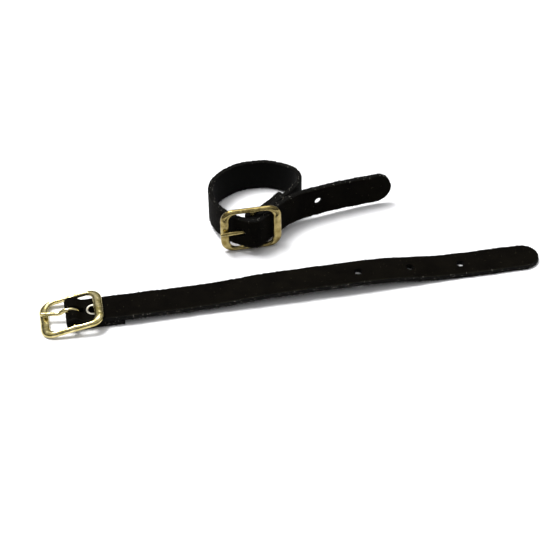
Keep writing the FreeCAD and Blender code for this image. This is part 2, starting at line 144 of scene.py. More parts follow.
def add_noise(tree: bpy.types.NodeTree, place: bpy.types.NodeSocket, size: float, detail: float,
              roughness: float = 0.5, distortion: float = 0.0) -> bpy.types.NodeSocket:
    """Adds a noise texture.

    Args:
        tree: The tree that gets the node.
        place: Where the noise is read.
        size: Size of its largest patches, in millimetres.
        detail: Number of finer layers.
        roughness: Weight of the finer layers.
        distortion: How far the patches are pulled out of shape.

    Returns:
        The noise value.
    """
    return add_node(tree, "ShaderNodeTexNoise", inputs={
        "Vector": place, "Scale": 1 / (size * MM), "Detail": detail, "Roughness": roughness,
        "Distortion": distortion}).outputs["Fac"]


def add_bump(tree: bpy.types.NodeTree, height: bpy.types.NodeSocket, strength: float, distance: float,
             below: bpy.types.NodeSocket | None = None) -> bpy.types.NodeSocket:
    """Adds a bump.

    Args:
        tree: The tree that gets the node.
        height: The relief.
        strength: How strongly the relief shows.
        distance: The relief's depth, in millimetres.
        below: Normal of a bump that this one is laid over.

    Returns:
        The normal.
    """
    inputs = {"Strength": strength, "Distance": distance * MM, "Height": height}
    if below is not None:
        inputs["Normal"] = below
    return add_node(tree, "ShaderNodeBump", inputs=inputs).outputs["Normal"]


def new_object(name: str, mesh: bpy.types.Mesh) -> bpy.types.Object:
    """Puts a mesh in the scene, at the origin."""
    made = bpy.data.objects.new(name, mesh)
    bpy.context.scene.collection.objects.link(made)
    return made


def make_mesh(name: str, points: Iterable[Vector], faces: Iterable[Sequence[int]]) -> bpy.types.Mesh:
    """Makes a mesh from points in millimetres.

    Args:
        name: The mesh's name.
        points: The points, in millimetres.
        faces: Point indices of each face.

    Returns:
        The mesh, in metres.
    """
    mesh = bpy.data.meshes.new(name)
    mesh.from_pydata([tuple(p * MM) for p in points], [], [tuple(f) for f in faces])
    mesh.validate()
    return mesh


def circle(middle: Vector, across: Vector, up: Vector, radius: float, sides: int) -> list[Vector]:
    """Points of a circle.

    Args:
        middle: Its middle.
        across: Unit direction from the middle to the first point.
        up: Unit direction to the point a quarter turn on.
        radius: Its radius.
        sides: Number of points.

    Returns:
        The points.
    """
    return [middle + across * (radius * math.cos(2 * math.pi * k / sides))
            + up * (radius * math.sin(2 * math.pi * k / sides)) for k in range(sides)]


def tube_faces(sides: int, rings: int, capped: bool = True) -> list[tuple[int, ...]]:
    """Faces of a tube whose points come ring by ring.

    Args:
        sides: Points in each ring.
        rings: Number of rings.
        capped: Whether the ends are closed.

    Returns:
        The walls, and then the first and the last cap.
    """
    walls = [(a + k, a + (k + 1) % sides, a + sides + (k + 1) % sides, a + sides + k)
             for a in range(0, (rings - 1) * sides, sides) for k in range(sides)]
    caps = [tuple(reversed(range(sides))), tuple(range((rings - 1) * sides, rings * sides))]
    return walls + caps if capped else walls


def outward(mesh: bpy.types.Mesh) -> bpy.types.Mesh:
    """Turns a closed mesh's faces outwards.

    Args:
        mesh: The mesh.

    Returns:
        The same mesh, with its doubled points merged.
    """
    shell = bmesh.new()
    shell.from_mesh(mesh)
    bmesh.ops.remove_doubles(shell, verts=shell.verts, dist=1e-8)
    bmesh.ops.recalc_face_normals(shell, faces=shell.faces)
    shell.to_mesh(mesh)
    shell.free()
    return mesh


def apply_modifiers(thing: bpy.types.Object) -> None:
    """Replaces an object's mesh by its evaluated one, and removes its modifiers.

    Args:
        thing: The object.
    """
    graph = bpy.context.evaluated_depsgraph_get()
    graph.update()
    mesh = bpy.data.meshes.new_from_object(thing.evaluated_get(graph), preserve_all_data_layers=True,
                                           depsgraph=graph)
    thing.modifiers.clear()
    thing.data = mesh
    mesh.name = thing.name


def smooth(mesh: bpy.types.Mesh, angle: float = 38.0) -> None:
    """Shades a mesh smooth, with edges sharper than the angle, in degrees, left crisp."""
    mesh.shade_smooth()
    mesh.set_sharp_from_angle(angle=math.radians(angle))


# ---------------------------------------------------------------- finishes
@dataclass(frozen=True)
class Finish:
    """A surface finish, which builds its own procedural material."""

    name: str
    slot: str

    def start(self) -> tuple[bpy.types.NodeTree, bpy.types.Node, bpy.types.NodeSocket, bpy.types.Material]:
        """Makes the material with a Principled shader.

        Returns:
            The node tree, the shader node, the Object coordinates and the material.
        """
        material = bpy.data.materials.new(self.name)
        material.use_nodes = True
        tree = material.node_tree
        tree.nodes.clear()
        shader = add_node(tree, "ShaderNodeBsdfPrincipled")
        add_node(tree, "ShaderNodeOutputMaterial", inputs={"Surface": shader.outputs["BSDF"]})
        place = add_node(tree, "ShaderNodeTexCoord").outputs["Object"]
        return tree, shader, place, material


@dataclass(frozen=True)
class GrainLeather(Finish):
    """Vegetable-tanned cowhide, dyed black and waxed: a matt near-black with a faint warm mottle,
    fine pebbled grain, a soft broken sheen at low angles and a painted highlight, a paler band along each cut
    edge."""

    dark: str = "#040302"
    light: str = "#0c0a06"
    # painted highlight: colour of the paler band along each cut edge
    edge_highlight: str = "#26241c"
    dust: str = "#54503f"
    pebble: float = 0.55  # mm between pores, drawn a little coarse so that it shows
    mottle: float = 9.0  # mm between darker and lighter patches of dye
    roughness: float = 0.7
    half_width: float = 8.0

    def build(self) -> bpy.types.Material:
        """Builds the material.

        Returns:
            The material.
        """
        tree, shader, place, material = self.start()
        patches = add_noise(tree, place, self.mottle, 6.0, 0.62)
        dye = add_ramp(tree, patches, [(0.32, self.dark), (0.72, self.light)])
        pores = add_node(tree, "ShaderNodeTexVoronoi", {"feature": "DISTANCE_TO_EDGE"}, {
            "Vector": place, "Scale": 1 / (self.pebble * MM), "Randomness": 1.0})
        creases = add_ramp(tree, pores.outputs["Distance"], [(0.0, 0.0), (0.22, 1.0)])
        fine = add_noise(tree, place, 0.28, 4.0, 0.7)
        # painted highlight: a paler ragged band beside each cut edge, where the rounded edge catches light
        flat = add_node(tree, "ShaderNodeSeparateXYZ", inputs={
            "Vector": add_node(tree, "ShaderNodeUVMap", {"uv_map": "strap"}).outputs["UV"]})
        from_middle = add_node(tree, "ShaderNodeMath", {"operation": "ABSOLUTE"}, {0: flat.outputs["Y"]})
        ragged = add_noise(tree, place, 1.6, 5.0, 0.7)
        spread = add_node(tree, "ShaderNodeMath", {"operation": "MULTIPLY_ADD"}, {
            0: ragged, 1: 1.6 * MM, 2: from_middle.outputs[0]})
        highlight_band = add_node(tree, "ShaderNodeMapRange", inputs={
            "Value": spread.outputs[0], "From Min": (self.half_width - 0.25) * MM,
            "From Max": (self.half_width + 0.75) * MM})
        highlighted = add_node(tree, "ShaderNodeMix", {"data_type": "RGBA"}, {
            0: highlight_band.outputs["Result"], 6: dye, 7: linear(self.edge_highlight)})
        # dust: a few pale grains caught in the pores
        cells = add_node(tree, "ShaderNodeTexVoronoi", inputs={"Vector": place, "Scale": 1 / (0.55 * MM)})
        chosen = add_node(tree, "ShaderNodeSeparateColor", inputs={"Color": cells.outputs["Color"]})
        rare = add_node(tree, "ShaderNodeMath", {"operation": "GREATER_THAN"},
                        {0: chosen.outputs[0], 1: 0.97})
        near = add_node(tree, "ShaderNodeMath", {"operation": "LESS_THAN"},
                        {0: cells.outputs["Distance"], 1: 0.2})
        speck = add_node(tree, "ShaderNodeMath", {"operation": "MULTIPLY"},
                         {0: rare.outputs[0], 1: near.outputs[0]})
        dusty = add_node(tree, "ShaderNodeMix", {"data_type": "RGBA"}, {
            0: speck.outputs[0], 6: highlighted.outputs[2], 7: linear(self.dust)})
        rough = add_node(tree, "ShaderNodeMapRange", inputs={
            "Value": fine, "From Min": 0.3, "From Max": 0.7,
            "To Min": self.roughness - 0.09, "To Max": self.roughness + 0.14})
        pits = add_bump(tree, creases, 0.5, 0.06)
        skin = add_bump(tree, fine, 0.6, 0.07, pits)
        feed(tree, shader, {"Base Color": dusty.outputs[2], "Roughness": rough.outputs["Result"],
                            "Specular IOR Level": 0.02, "IOR": 1.48, "Normal": skin})
        return material


@dataclass(frozen=True)
class FleshLeather(Finish):
    """The hide's flesh side, dyed through and napped: a deep black that reflects almost nothing,
    with short fibres that only show where light grazes them."""

    dark: str = "#030303"
    light: str = "#090908"
    nap: float = 0.45  # mm between tufts

    def build(self) -> bpy.types.Material:
        """Builds the material.

        Returns:
            The material.
        """
        tree, shader, place, material = self.start()
        tufts = add_noise(tree, place, self.nap, 6.0, 0.75, 0.6)
        colour = add_ramp(tree, tufts, [(0.35, self.dark), (0.75, self.light)])
        bump = add_bump(tree, tufts, 0.8, 0.16)
        feed(tree, shader, {"Base Color": colour, "Roughness": 0.92, "Specular IOR Level": 0.06,
                            "Sheen Weight": 0.02, "Sheen Roughness": 0.5, "Normal": bump})
        return material


@dataclass(frozen=True)
class CutEdgeLeather(Finish):
    """The raw cut edge, dyed but not sealed: black and fibrous, with layers that run along the
    strap and a few fibres that catch the light."""

    dark: str = "#040403"
    light: str = "#0e0d0b"
    lint: str = "#4d4a42"
    layer: float = 0.35  # mm between layers of fibre

    def build(self) -> bpy.types.Material:
        """Builds the material.

        Returns:
            The material.
        """
        tree, shader, place, material = self.start()
        matted = add_noise(tree, place, self.layer, 7.0, 0.8, 0.4)
        colour = add_ramp(tree, matted, [(0.3, self.dark), (0.62, self.light), (0.8, self.lint)])
        bump = add_bump(tree, matted, 1.0, 0.22)
        feed(tree, shader, {"Base Color": colour, "Roughness": 0.88, "Specular IOR Level": 0.08,
                            "Normal": bump})
        return material


@dataclass(frozen=True)
class LooseFibre(Finish):
    """Collagen fibres that stand off the cut edge: mostly dyed black, some undyed and pale grey."""

    dark: str = "#0c0b0a"
    pale: str = "#86837a"

    def build(self) -> bpy.types.Material:
        """Builds the material.

        Returns:
            The material.
        """
        tree, shader, _, material = self.start()
        fleck = add_node(tree, "ShaderNodeAttribute", {"attribute_name": "fleck"})
        colour = add_ramp(tree, fleck.outputs["Fac"], [(0.9, self.dark), (1.0, self.pale)])
        feed(tree, shader, {"Base Color": colour, "Roughness": 0.8, "Specular IOR Level": 0.2})
        return material


@dataclass(frozen=True)
class Brass(Finish):
    """Cast brass, tumbled and buffed. Polished, it is a clear yellow gold with crisp highlights;
    antiqued, it is darker and olive, with brown tarnish in scattered patches."""

    bright: str = "#dccf9c"
    dull: str = "#b3a564"
    tarnish: str = "#574a22"
    tarnished: float = 0.22  # share of the surface that holds tarnish
    roughness: float = 0.14
    ripple: float = 2.6  # mm between the cast surface's slight waves

    def build(self) -> bpy.types.Material:
        """Builds the material.

        Returns:
            The material.
        """
        tree, shader, place, material = self.start()
        broad = add_noise(tree, place, 3.4, 4.0, 0.6)
        body = add_ramp(tree, broad, [(0.38, self.dull), (0.62, self.bright)])
        stain = add_noise(tree, place, 1.3, 8.0, 0.68)
        patch = add_node(tree, "ShaderNodeMapRange", inputs={
            "Value": stain, "From Min": 0.72 - 0.5 * self.tarnished,
            "From Max": 0.4 - 0.4 * self.tarnished, "To Min": 0.0, "To Max": 1.0})
        share = add_node(tree, "ShaderNodeMath", {"operation": "MULTIPLY"}, {
            0: patch.outputs["Result"], 1: self.tarnished})
        mixed = add_node(tree, "ShaderNodeMix", {"data_type": "RGBA"}, {
            0: share.outputs[0], 6: body, 7: linear(self.tarnish)})
        scuffs = add_noise(tree, place, 0.5, 6.0, 0.7)
        rough = add_node(tree, "ShaderNodeMapRange", inputs={
            "Value": scuffs, "From Min": 0.3, "From Max": 0.75,
            "To Min": self.roughness * 0.7, "To Max": self.roughness * 1.7})
        waves = add_noise(tree, place, self.ripple, 1.0)
        swell = add_bump(tree, waves, 0.5, 0.35)
        nicks = add_bump(tree, scuffs, 0.25, 0.02, swell)
        feed(tree, shader, {"Base Color": mixed.outputs[2], "Metallic": 1.0,
                            "Roughness": rough.outputs["Result"], "Normal": nicks})
        return material


@dataclass(frozen=True)
class Nickel(Finish):
    """Nickel-plated steel sheet, drawn and rolled over: a pale warm white, slightly dulled."""

    bright: str = "#ddd9cc"
    dull: str = "#b5b09c"

    def build(self) -> bpy.types.Material:
        """Builds the material.

        Returns:
            The material.
        """
        tree, shader, place, material = self.start()
        clouds = add_noise(tree, place, 0.8, 5.0, 0.65)
        colour = add_ramp(tree, clouds, [(0.35, self.dull), (0.6, self.bright)])
        rough = add_node(tree, "ShaderNodeMapRange", inputs={
            "Value": clouds, "To Min": 0.2, "To Max": 0.42})
        bump = add_bump(tree, clouds, 0.3, 0.03)
        feed(tree, shader, {"Base Color": colour, "Metallic": 1.0, "Roughness": rough.outputs["Result"],
                            "Normal": bump})
        return material


# ---------------------------------------------------------------- lines and places
@dataclass(frozen=True)
class Lay:
    """Where a profile plane lies: its origin, and the directions along the strap, out of its flesh
    side and across it."""

    origin: Vector
    along: Vector
    inward: Vector
    across: Vector

    def at(self, x: float, y: float, z: float) -> Vector:
        """The point of the row frame, in millimetres, for a point of the profile plane."""
        return self.origin + self.along * x + self.inward * y + self.across * z

    def direction(self, x: float, y: float) -> Vector:
        """The row frame's direction for a direction in the profile plane."""
        return self.along * x + self.inward * y

    @classmethod
    def from_axis(cls, origin: Sequence[float], axis: Sequence[float]) -> "Lay":
        """Makes the lay whose centre bar has this place, in metres, and this direction.

        Args:
            origin: A point on the bar's axis, in metres.
            axis: The axis's direction.

        Returns:
            The lay.
        """
        across = Vector(axis).normalized()
        along = Vector((1, 0, 0))
        return cls(Vector(origin) / MM, along, across.cross(along), across)


class Centreline:
    """A flat line of straights and arcs along the middle of the leather; its grain side is on the right."""

    def __init__(self, x: float, y: float, heading: float) -> None:
        """Starts the line at a point, with a heading in radians."""
        self.end = (x, y, heading)
        self.spans: list[tuple[tuple[float, float, float], float, float]] = []
        self.length = 0.0
        self.zero = 0.0

    @staticmethod
    def step(start: tuple[float, float, float], along: float, bend: float) -> tuple[float, float, float]:
        """Goes some way along an arc.

        Args:
            start: Point and heading at the arc's start.
            along: Distance to go.
            bend: Turn per millimetre, positive to the left.

        Returns:
            Point and heading there.
        """
        x, y, heading = start
        if abs(bend) < 1e-9:
            return x + along * math.cos(heading), y + along * math.sin(heading), heading
        end = heading + bend * along
        return (x + (math.sin(end) - math.sin(heading)) / bend,
                y + (math.cos(heading) - math.cos(end)) / bend, end)

    def run(self, length: float, turn: float = 0.0) -> "Centreline":
        """Goes on by a length, turning left by an angle on the way."""
        self.spans.append((self.end, length, turn / length))
        self.end = self.step(self.end, length, turn / length)
        self.length += length
        return self

    def arc(self, radius: float, turn: float) -> "Centreline":
        """Goes on by an arc of this radius and turn, in radians."""
        return self.run(radius * abs(turn), turn)

    def ease(self, along: float, sideways: float) -> "Centreline":
        """Shifts the line to its left with two equal and opposite arcs."""
        turn = 2 * math.atan2(sideways, along)
        radius = abs(along / (2 * math.sin(turn)))
        return self.arc(radius, turn).arc(radius, -turn)

    def mark_zero(self) -> "Centreline":
        """Measures stations from here."""
        self.zero = self.length
        return self

    def at(self, station: float) -> tuple[float, float, float]:
        """Point and heading at a station.

        Args:
            station: Distance from the zero mark.

        Returns:
            The point and the heading there.
        """
        left = min(max(station + self.zero, 0.0), self.length - 1e-9)
        for start, length, bend in self.spans:
            if left <= length:
                break
            left -= length
        return self.step(start, left, bend)


@dataclass
class StrapSizes:
    """Sizes of one strap, in millimetres."""

    width: float = 16.0
    thick: float = 2.4
    first_hole: float = 136.0
    hole_pitch: float = 25.4
    hole_count: int = 3
    hole_wide: float = 4.0
    tip_margin: float = 39.0
    tip_corner: float = 7.9
    tab: float = 23.0
    layer_step: float = 2.5
    fold_mid: float = 2.48
    crease: float = 5.0
    slot_wide: float = 3.2
    slot_reach: float = 5.0
    rivet_place: float = 9.4
    corner: float = 0.42
    waviness: float = 0.36
    fibre_free: float = 19.0  # fibres grow only farther than this from the fold, clear of the frame
    rivet_hole: float = 2.5  # radius
    rivet_seat: float = 3.72  # radius of the recesses for the ring and for the base disc
    ring_seat: float = -0.4  # floor of the ring's recess, along the rivet's axis from the grain side
    base_seat: float = -4.4  # floor of the base disc's recess
    cut_low: float = -5.1  # where the rivet's cuts end, past the tab
    cut_high: float = 0.12  # where they start, above the grain side
    punch: float = 3.0  # half length of a tongue hole's punch

    @property
    def reach(self) -> float:
        """Station of the tip."""
        return self.first_hole + (self.hole_count - 1) * self.hole_pitch + self.tip_margin

    @property
    def fold_outer(self) -> float:
        """Radius of the fold's outside."""
        return self.fold_mid + self.thick / 2

    def hole(self, number: int) -> float:
        """Station of a tongue hole, numbered from 1."""
        return self.first_hole + (number - 1) * self.hole_pitch

    def fold(self, grain_layer: float, tab_layer: float, turned: float = 0.0) -> Centreline:
        """Tab, fold round the centre bar and start of the grain layer.

        Args:
            grain_layer: Where the grain layer's middle lies, towards the flesh side.
            tab_layer: Where the tab's middle lies.
            turned: Turn of the fold about the centre bar, in radians.

        Returns:
            The line so far, with its zero at the top of the fold.
        """
        reach = self.fold_mid + self.crease
        tab_bend = math.acos(min(1.0, (self.crease + tab_layer) / reach))
        grain_bend = math.acos(min(1.0, (self.crease - grain_layer) / reach))
        x = self.tab * math.cos(turned) - tab_layer * math.sin(turned)
        y = self.tab * math.sin(turned) + tab_layer * math.cos(turned)
        line = Centreline(x, y, math.pi + turned).run(self.tab - reach * math.sin(tab_bend))
        if tab_bend > 1e-6:
            line.arc(self.crease, -tab_bend)
        line.arc(self.fold_mid, math.pi + tab_bend).mark_zero()
        if grain_bend > 1e-6:
            line.arc(self.fold_mid, grain_bend).arc(self.crease, -grain_bend)
        return line


class Face(Enum):
    """The leather's three kinds of surface, in the order of their material slots."""

    GRAIN = 0
    FLESH = 1
    EDGE = 2


# ---------------------------------------------------------------- leather
@dataclass
class Band:
    """Lofts stretches of leather along a centreline, and punches them."""

    sizes: StrapSizes
    line: Centreline
    lay: Lay
    materials: list[bpy.types.Material]
    seed: float = 0.0
    step: float = 0.8
    cutters: list[bpy.types.Object] = field(default_factory=list)

    def half_width(self, station: float, side: int) -> float:
        """Distance from the middle to one edge, with the cut's slight waviness and the round tip.

        Args:
            station: Where, along the strap.
            side: -1 or 1, for the edge.

        Returns:
            The distance.
        """
        s = self.sizes
        wave = noise.noise(Vector((station / 7.0, self.seed, side * 5.3)))
        ripple = noise.noise(Vector((station / 1.3, self.seed + 4.0, side * 3.1)))
        half = s.width / 2 - 0.5 * s.waviness + s.waviness * (wave + 0.9 * ripple)
        past = station - (s.reach - s.tip_corner)
        if past > 0:
            past = min(past, s.tip_corner)
            half -= s.tip_corner - math.sqrt(s.tip_corner ** 2 - past ** 2)
        return max(half, 0.12)

    def section(self, station: float) -> list[tuple[float, float]]:
        """Outline of the leather across the strap.

        Args:
            station: Where the section is.

        Returns:
            Distance across and height towards the grain side, counterclockwise from the flesh side.
        """
        half_thick, corner = self.sizes.thick / 2, self.sizes.corner
        low, high = -self.half_width(station, -1), self.half_width(station, 1)
        corner = min(corner, (high - low) / 2.2)
        rows = [low + corner + (high - low - 2 * corner) * i / 8 for i in range(9)]
        arc = [math.radians(a) for a in (22.5, 45.0, 67.5)]
        flesh = [(z, -half_thick) for z in rows]
        right = [(high - corner + corner * math.sin(a), -half_thick + corner - corner * math.cos(a))
                 for a in arc]
        right += [(high, -half_thick + corner), (high + 0.03, 0.0), (high, half_thick - corner)]
        right += [(high - corner + corner * math.cos(a), half_thick - corner + corner * math.sin(a))
                  for a in arc]
        grain = [(z, half_thick) for z in reversed(rows)]
        left = [(low + corner - corner * math.sin(a), half_thick - corner + corner * math.cos(a))
                for a in arc]
        left += [(low, half_thick - corner), (low - 0.03, 0.0), (low, -half_thick + corner)]
        left += [(low + corner - corner * math.cos(a), -half_thick + corner - corner * math.sin(a))
                 for a in arc]
        return flesh + right + grain + left

    def stations(self, start: float, stop: float) -> list[float]:
        """Where the sections lie: closer together round the fold and at the tip.

        Args:
            start: First station.
            stop: Last station.

        Returns:
            The stations, in order.
        """
        places, here = [], start
        tip = self.sizes.reach - self.sizes.tip_corner
        while here < stop - 1e-6:
            places.append(here)
            near_fold = -12 < here < 12
            here += 0.4 if near_fold else self.step
            if here > tip and stop > tip:
                break
        if stop > tip:
            places += [tip + self.sizes.tip_corner * math.sin(math.radians(90 * i / 18)) for i in range(19)]
        else:
            places.append(stop)
        return [p for i, p in enumerate(places) if i == 0 or p > places[i - 1] + 1e-4]

    def loft(self, name: str, start: float, stop: float) -> bpy.types.Object:
        """Makes one closed stretch of leather, with its flat map and its three surfaces.

        Args:
            name: The piece's name.
            start: Station where it starts.
            stop: Station where it stops.

        Returns:
            The object.
        """
        places = self.stations(start, stop)
        points: list[Vector] = []
        flat: list[tuple[float, float]] = []
        for place in places:
            x, y, heading = self.line.at(place)
            grain = (math.sin(heading), -math.cos(heading))
            for z, high in self.section(place):
                points.append(self.lay.at(x + grain[0] * high, y + grain[1] * high, z))
                flat.append((place, z))
        walls = [Face.FLESH] * 8 + [Face.EDGE] * 10 + [Face.GRAIN] * 8 + [Face.EDGE] * 10
        count = len(walls)
        kinds = walls * (len(places) - 1) + [Face.EDGE, Face.EDGE]
        mesh = make_mesh(name, points, tube_faces(count, len(places)))
        for material in self.materials:
            mesh.materials.append(material)
        flat_map = mesh.uv_layers.new(name="strap")
        for loop in mesh.loops:
            u, v = flat[loop.vertex_index]
            flat_map.data[loop.index].uv = (u * MM, v * MM)
        mesh.polygons.foreach_set("material_index", [kind.value for kind in kinds])
        edge = mesh.attributes.new("cut_edge", "BOOLEAN", "FACE")
        free = [abs(place) > self.sizes.fibre_free for place in places for _ in range(count)]
        bears_fibres = [kind is Face.EDGE and loose for kind, loose in zip(kinds[:-2], free)]
        edge.data.foreach_set("value", bears_fibres + [False, False])
        return new_object(name, mesh)

    def cutter(self, mesh: bpy.types.Mesh) -> bpy.types.Object:
        """Keeps a closed mesh as a cutting tool whose walls show cut leather.

        Args:
            mesh: The tool's shape.

        Returns:
            The cutting tool.
        """
        for material in self.materials:
            mesh.materials.append(material)
        for polygon in mesh.polygons:
            polygon.material_index = Face.EDGE.value
        tool = new_object(mesh.name, mesh)
        self.cutters.append(tool)
        return tool

    def round_cutter(self, middle: tuple[float, float], way: tuple[float, float], radius: float,
                     low: float, high: float) -> bpy.types.Object:
        """Makes a cylinder in the profile plane.

        Args:
            middle: Point on its axis.
            way: Unit direction of its axis.
            radius: Its radius.
            low: Its start along the axis, from the point.
            high: Its end along the axis.

        Returns:
            The cutting tool.
        """
        sides = 40
        axis = self.lay.direction(*way)
        side = axis.cross(self.lay.across).normalized()
        points = []
        for reach in (low, high):
            centre = self.lay.at(middle[0] + way[0] * reach, middle[1] + way[1] * reach, 0)
            points += circle(centre, self.lay.across, side, radius, sides)
        return self.cutter(outward(make_mesh("punch", points, tube_faces(sides, 2))))

    def slot_cutter(self, turned: float) -> bpy.types.Object:
        """Makes the tool for the tongue's slot in the fold, which stays within the fold.

        Args:
            turned: Turn of the fold about the centre bar, in radians.

        Returns:
            The cutting tool.
        """
        reach, half = self.sizes.fold_outer + 0.05, self.sizes.slot_wide / 2
        shape = [(self.sizes.slot_reach, reach), (self.sizes.slot_reach, -reach)]
        shape += [(-reach * math.sin(a), -reach * math.cos(a)) for a in (math.pi * i / 20 for i in range(21))]
        c, s = math.cos(turned), math.sin(turned)
        shape = [(x * c - y * s, x * s + y * c) for x, y in shape]
        points = [self.lay.at(x, y, z) for z in (-half, half) for x, y in shape]
        return self.cutter(outward(make_mesh("slot", points, tube_faces(len(shape), 2))))

    def hole_cutter(self, station: float) -> bpy.types.Object:
        """Makes the punch for a tongue hole."""
        x, y, heading = self.line.at(station)
        return self.round_cutter((x, y), (math.sin(heading), -math.cos(heading)), self.sizes.hole_wide / 2,
                                 -self.sizes.punch, self.sizes.punch)

    def rivet_axis(self) -> tuple[tuple[float, float], tuple[float, float]]:
        """Where the rivet's axis meets the grain side, and its direction."""
        station = self.sizes.rivet_place
        for _ in range(20):
            x, y, heading = self.line.at(station)
            station += self.sizes.rivet_place - (x * math.cos(heading) + y * math.sin(heading))
        way = (math.sin(heading), -math.cos(heading))
        half = self.sizes.thick / 2
        return (x + way[0] * half, y + way[1] * half), way

    def cut(self, piece: bpy.types.Object) -> None:
        """Takes the waiting tools' shapes out of a piece, and clears the tools away.

        Args:
            piece: The leather.
        """
        for tool in self.cutters:
            boolean = piece.modifiers.new(tool.name, "BOOLEAN")
            boolean.operation = "DIFFERENCE"
            boolean.solver = "EXACT"
            boolean.object = tool
        apply_modifiers(piece)
        for tool in self.cutters:
            bpy.data.objects.remove(tool)
        self.cutters.clear()


# ---------------------------------------------------------------- loose fibres
@dataclass
class EdgeFibres:
    """Fibres that stand off the cut edges, scattered by a node tree.

    The tree scatters thin cones on the faces marked as cut edge, leans each one at random, gives a
    few of them a pale shade and joins them to the leather.
    """

    density: float = 3.0  # tufts per square millimetre
    length: float = 0.9
    thickness: float = 0.16  # mm at the root: a tuft of several fibres
    material: bpy.types.Material | None = None
    tree: bpy.types.NodeTree | None = None

    def build(self) -> None:
        """Builds the node tree."""
        tree = self.tree = bpy.data.node_groups.new("edge_fibres", "GeometryNodeTree")
        face = tree.interface
        face.new_socket("Leather", in_out="INPUT", socket_type="NodeSocketGeometry")
        for name, value in (("Density", self.density / MM ** 2), ("Length", self.length * MM),
                            ("Thickness", self.thickness * MM)):
            face.new_socket(name, in_out="INPUT", socket_type="NodeSocketFloat").default_value = value
        face.new_socket("Seed", in_out="INPUT", socket_type="NodeSocketInt").default_value = 1
        face.new_socket("Fibre", in_out="INPUT", socket_type="NodeSocketMaterial")
        face.new_socket("Leather", in_out="OUTPUT", socket_type="NodeSocketGeometry")
        given = add_node(tree, "NodeGroupInput").outputs
        marked = add_node(tree, "GeometryNodeInputNamedAttribute", {"data_type": "BOOLEAN"},
                          {"Name": "cut_edge"})
        spots = add_node(tree, "GeometryNodeDistributePointsOnFaces", {"distribute_method": "RANDOM"}, {
            "Mesh": given["Leather"], "Selection": marked.outputs["Attribute"],
            "Density": given["Density"], "Seed": given["Seed"]})
        shade = add_node(tree, "FunctionNodeRandomValue", {"data_type": "FLOAT"}, {"Seed": given["Seed"]})
        shaded = add_node(tree, "GeometryNodeStoreNamedAttribute",
                          {"data_type": "FLOAT", "domain": "POINT"}, {
            "Geometry": spots.outputs["Points"], "Name": "fleck", "Value": shade.outputs[1]})
        lean = add_node(tree, "FunctionNodeRandomValue", {"data_type": "FLOAT_VECTOR"}, {
            "Min": (-0.9, -0.9, -0.9), "Max": (0.9, 0.9, 0.9), "Seed": given["Seed"]})
        way = add_node(tree, "ShaderNodeVectorMath", {"operation": "ADD"}, {
            0: spots.outputs["Normal"], 1: lean.outputs[0]})
        turn = add_node(tree, "FunctionNodeAlignRotationToVector", {"axis": "Z"}, {"Vector": way.outputs[0]})
        cone = add_node(tree, "GeometryNodeMeshCone", inputs={
            "Vertices": 4, "Radius Top": 0.0, "Radius Bottom": given["Thickness"], "Depth": given["Length"]})
        sunk = add_node(tree, "GeometryNodeTransform", inputs={
            "Geometry": cone.outputs["Mesh"],
            "Translation": add_node(tree, "ShaderNodeCombineXYZ", inputs={
                "Z": add_node(tree, "ShaderNodeMath", {"operation": "MULTIPLY"}, {
                    0: given["Length"], 1: -0.12}).outputs[0]}).outputs[0]})
        sizes = add_node(tree, "FunctionNodeRandomValue", {"data_type": "FLOAT"}, {
            2: 0.35, 3: 1.0, "Seed": given["Seed"]})
        placed = add_node(tree, "GeometryNodeInstanceOnPoints", inputs={
            "Points": shaded.outputs["Geometry"], "Instance": sunk.outputs["Geometry"],
            "Rotation": turn.outputs["Rotation"], "Scale": sizes.outputs[1]})
        loose = add_node(tree, "GeometryNodeRealizeInstances",
                         inputs={"Geometry": placed.outputs["Instances"]})
        dressed = add_node(tree, "GeometryNodeSetMaterial", inputs={
            "Geometry": loose.outputs["Geometry"], "Material": given["Fibre"]})
        both = add_node(tree, "GeometryNodeJoinGeometry")
        tree.links.new(dressed.outputs["Geometry"], both.inputs["Geometry"])
        tree.links.new(given["Leather"], both.inputs["Geometry"])
        add_node(tree, "NodeGroupOutput", inputs={"Leather": both.outputs["Geometry"]})

    def grow(self, piece: bpy.types.Object, seed: int) -> None:
        """Grows the fibres on a piece's cut edges and makes them part of its mesh.

        Args:
            piece: The leather.
            seed: Seed for the scatter.
        """
        grown = piece.modifiers.new("edge_fibres", "NODES")
        grown.node_group = self.tree
        sockets = {item.name: item.identifier for item in self.tree.interface.items_tree
                   if item.in_out == "INPUT"}
        grown[sockets["Seed"]] = seed
        grown[sockets["Fibre"]] = self.material
        apply_modifiers(piece)


# ---------------------------------------------------------------- metal
def sweep(route: Sequence[Vector], radii: Sequence[float], across: Vector, sides: int = 16
          ) -> tuple[list[Vector], list[tuple[int, ...]]]:
    """Sweeps a round section along a flat route, with closed ends.

    Args:
        route: Points of the route, in order.
        radii: The section's radius at each point.
        across: Unit normal of the route's plane.
        sides: Points round the section.

    Returns:
        Points and faces.
    """
    points: list[Vector] = []
    for i, (middle, radius) in enumerate(zip(route, radii)):
        ahead = (route[min(i + 1, len(route) - 1)] - route[max(i - 1, 0)]).normalized()
        up = across.cross(ahead).normalized()
        points += circle(middle, across, up, radius, sides)
    return points, tube_faces(sides, len(route))


def spline(points: Sequence[tuple[float, float]], pieces: int = 6) -> list[tuple[float, float]]:
    """Runs a smooth line through flat points.

    Args:
        points: The points to pass.
        pieces: Steps between two points.

    Returns:
        Points of the smooth line.
    """
    line = []
    padded = [points[0], *points, points[-1]]
    for a, b, c, d in zip(padded, padded[1:], padded[2:], padded[3:]):
        for k in range(pieces):
            t = k / pieces
            line.append(tuple(0.5 * (2 * b[i] + (c[i] - a[i]) * t
                                     + (2 * a[i] - 5 * b[i] + 4 * c[i] - d[i]) * t * t
                                     + (3 * b[i] - a[i] - 3 * c[i] + d[i]) * t ** 3) for i in (0, 1)))
    return [*line, points[-1]]


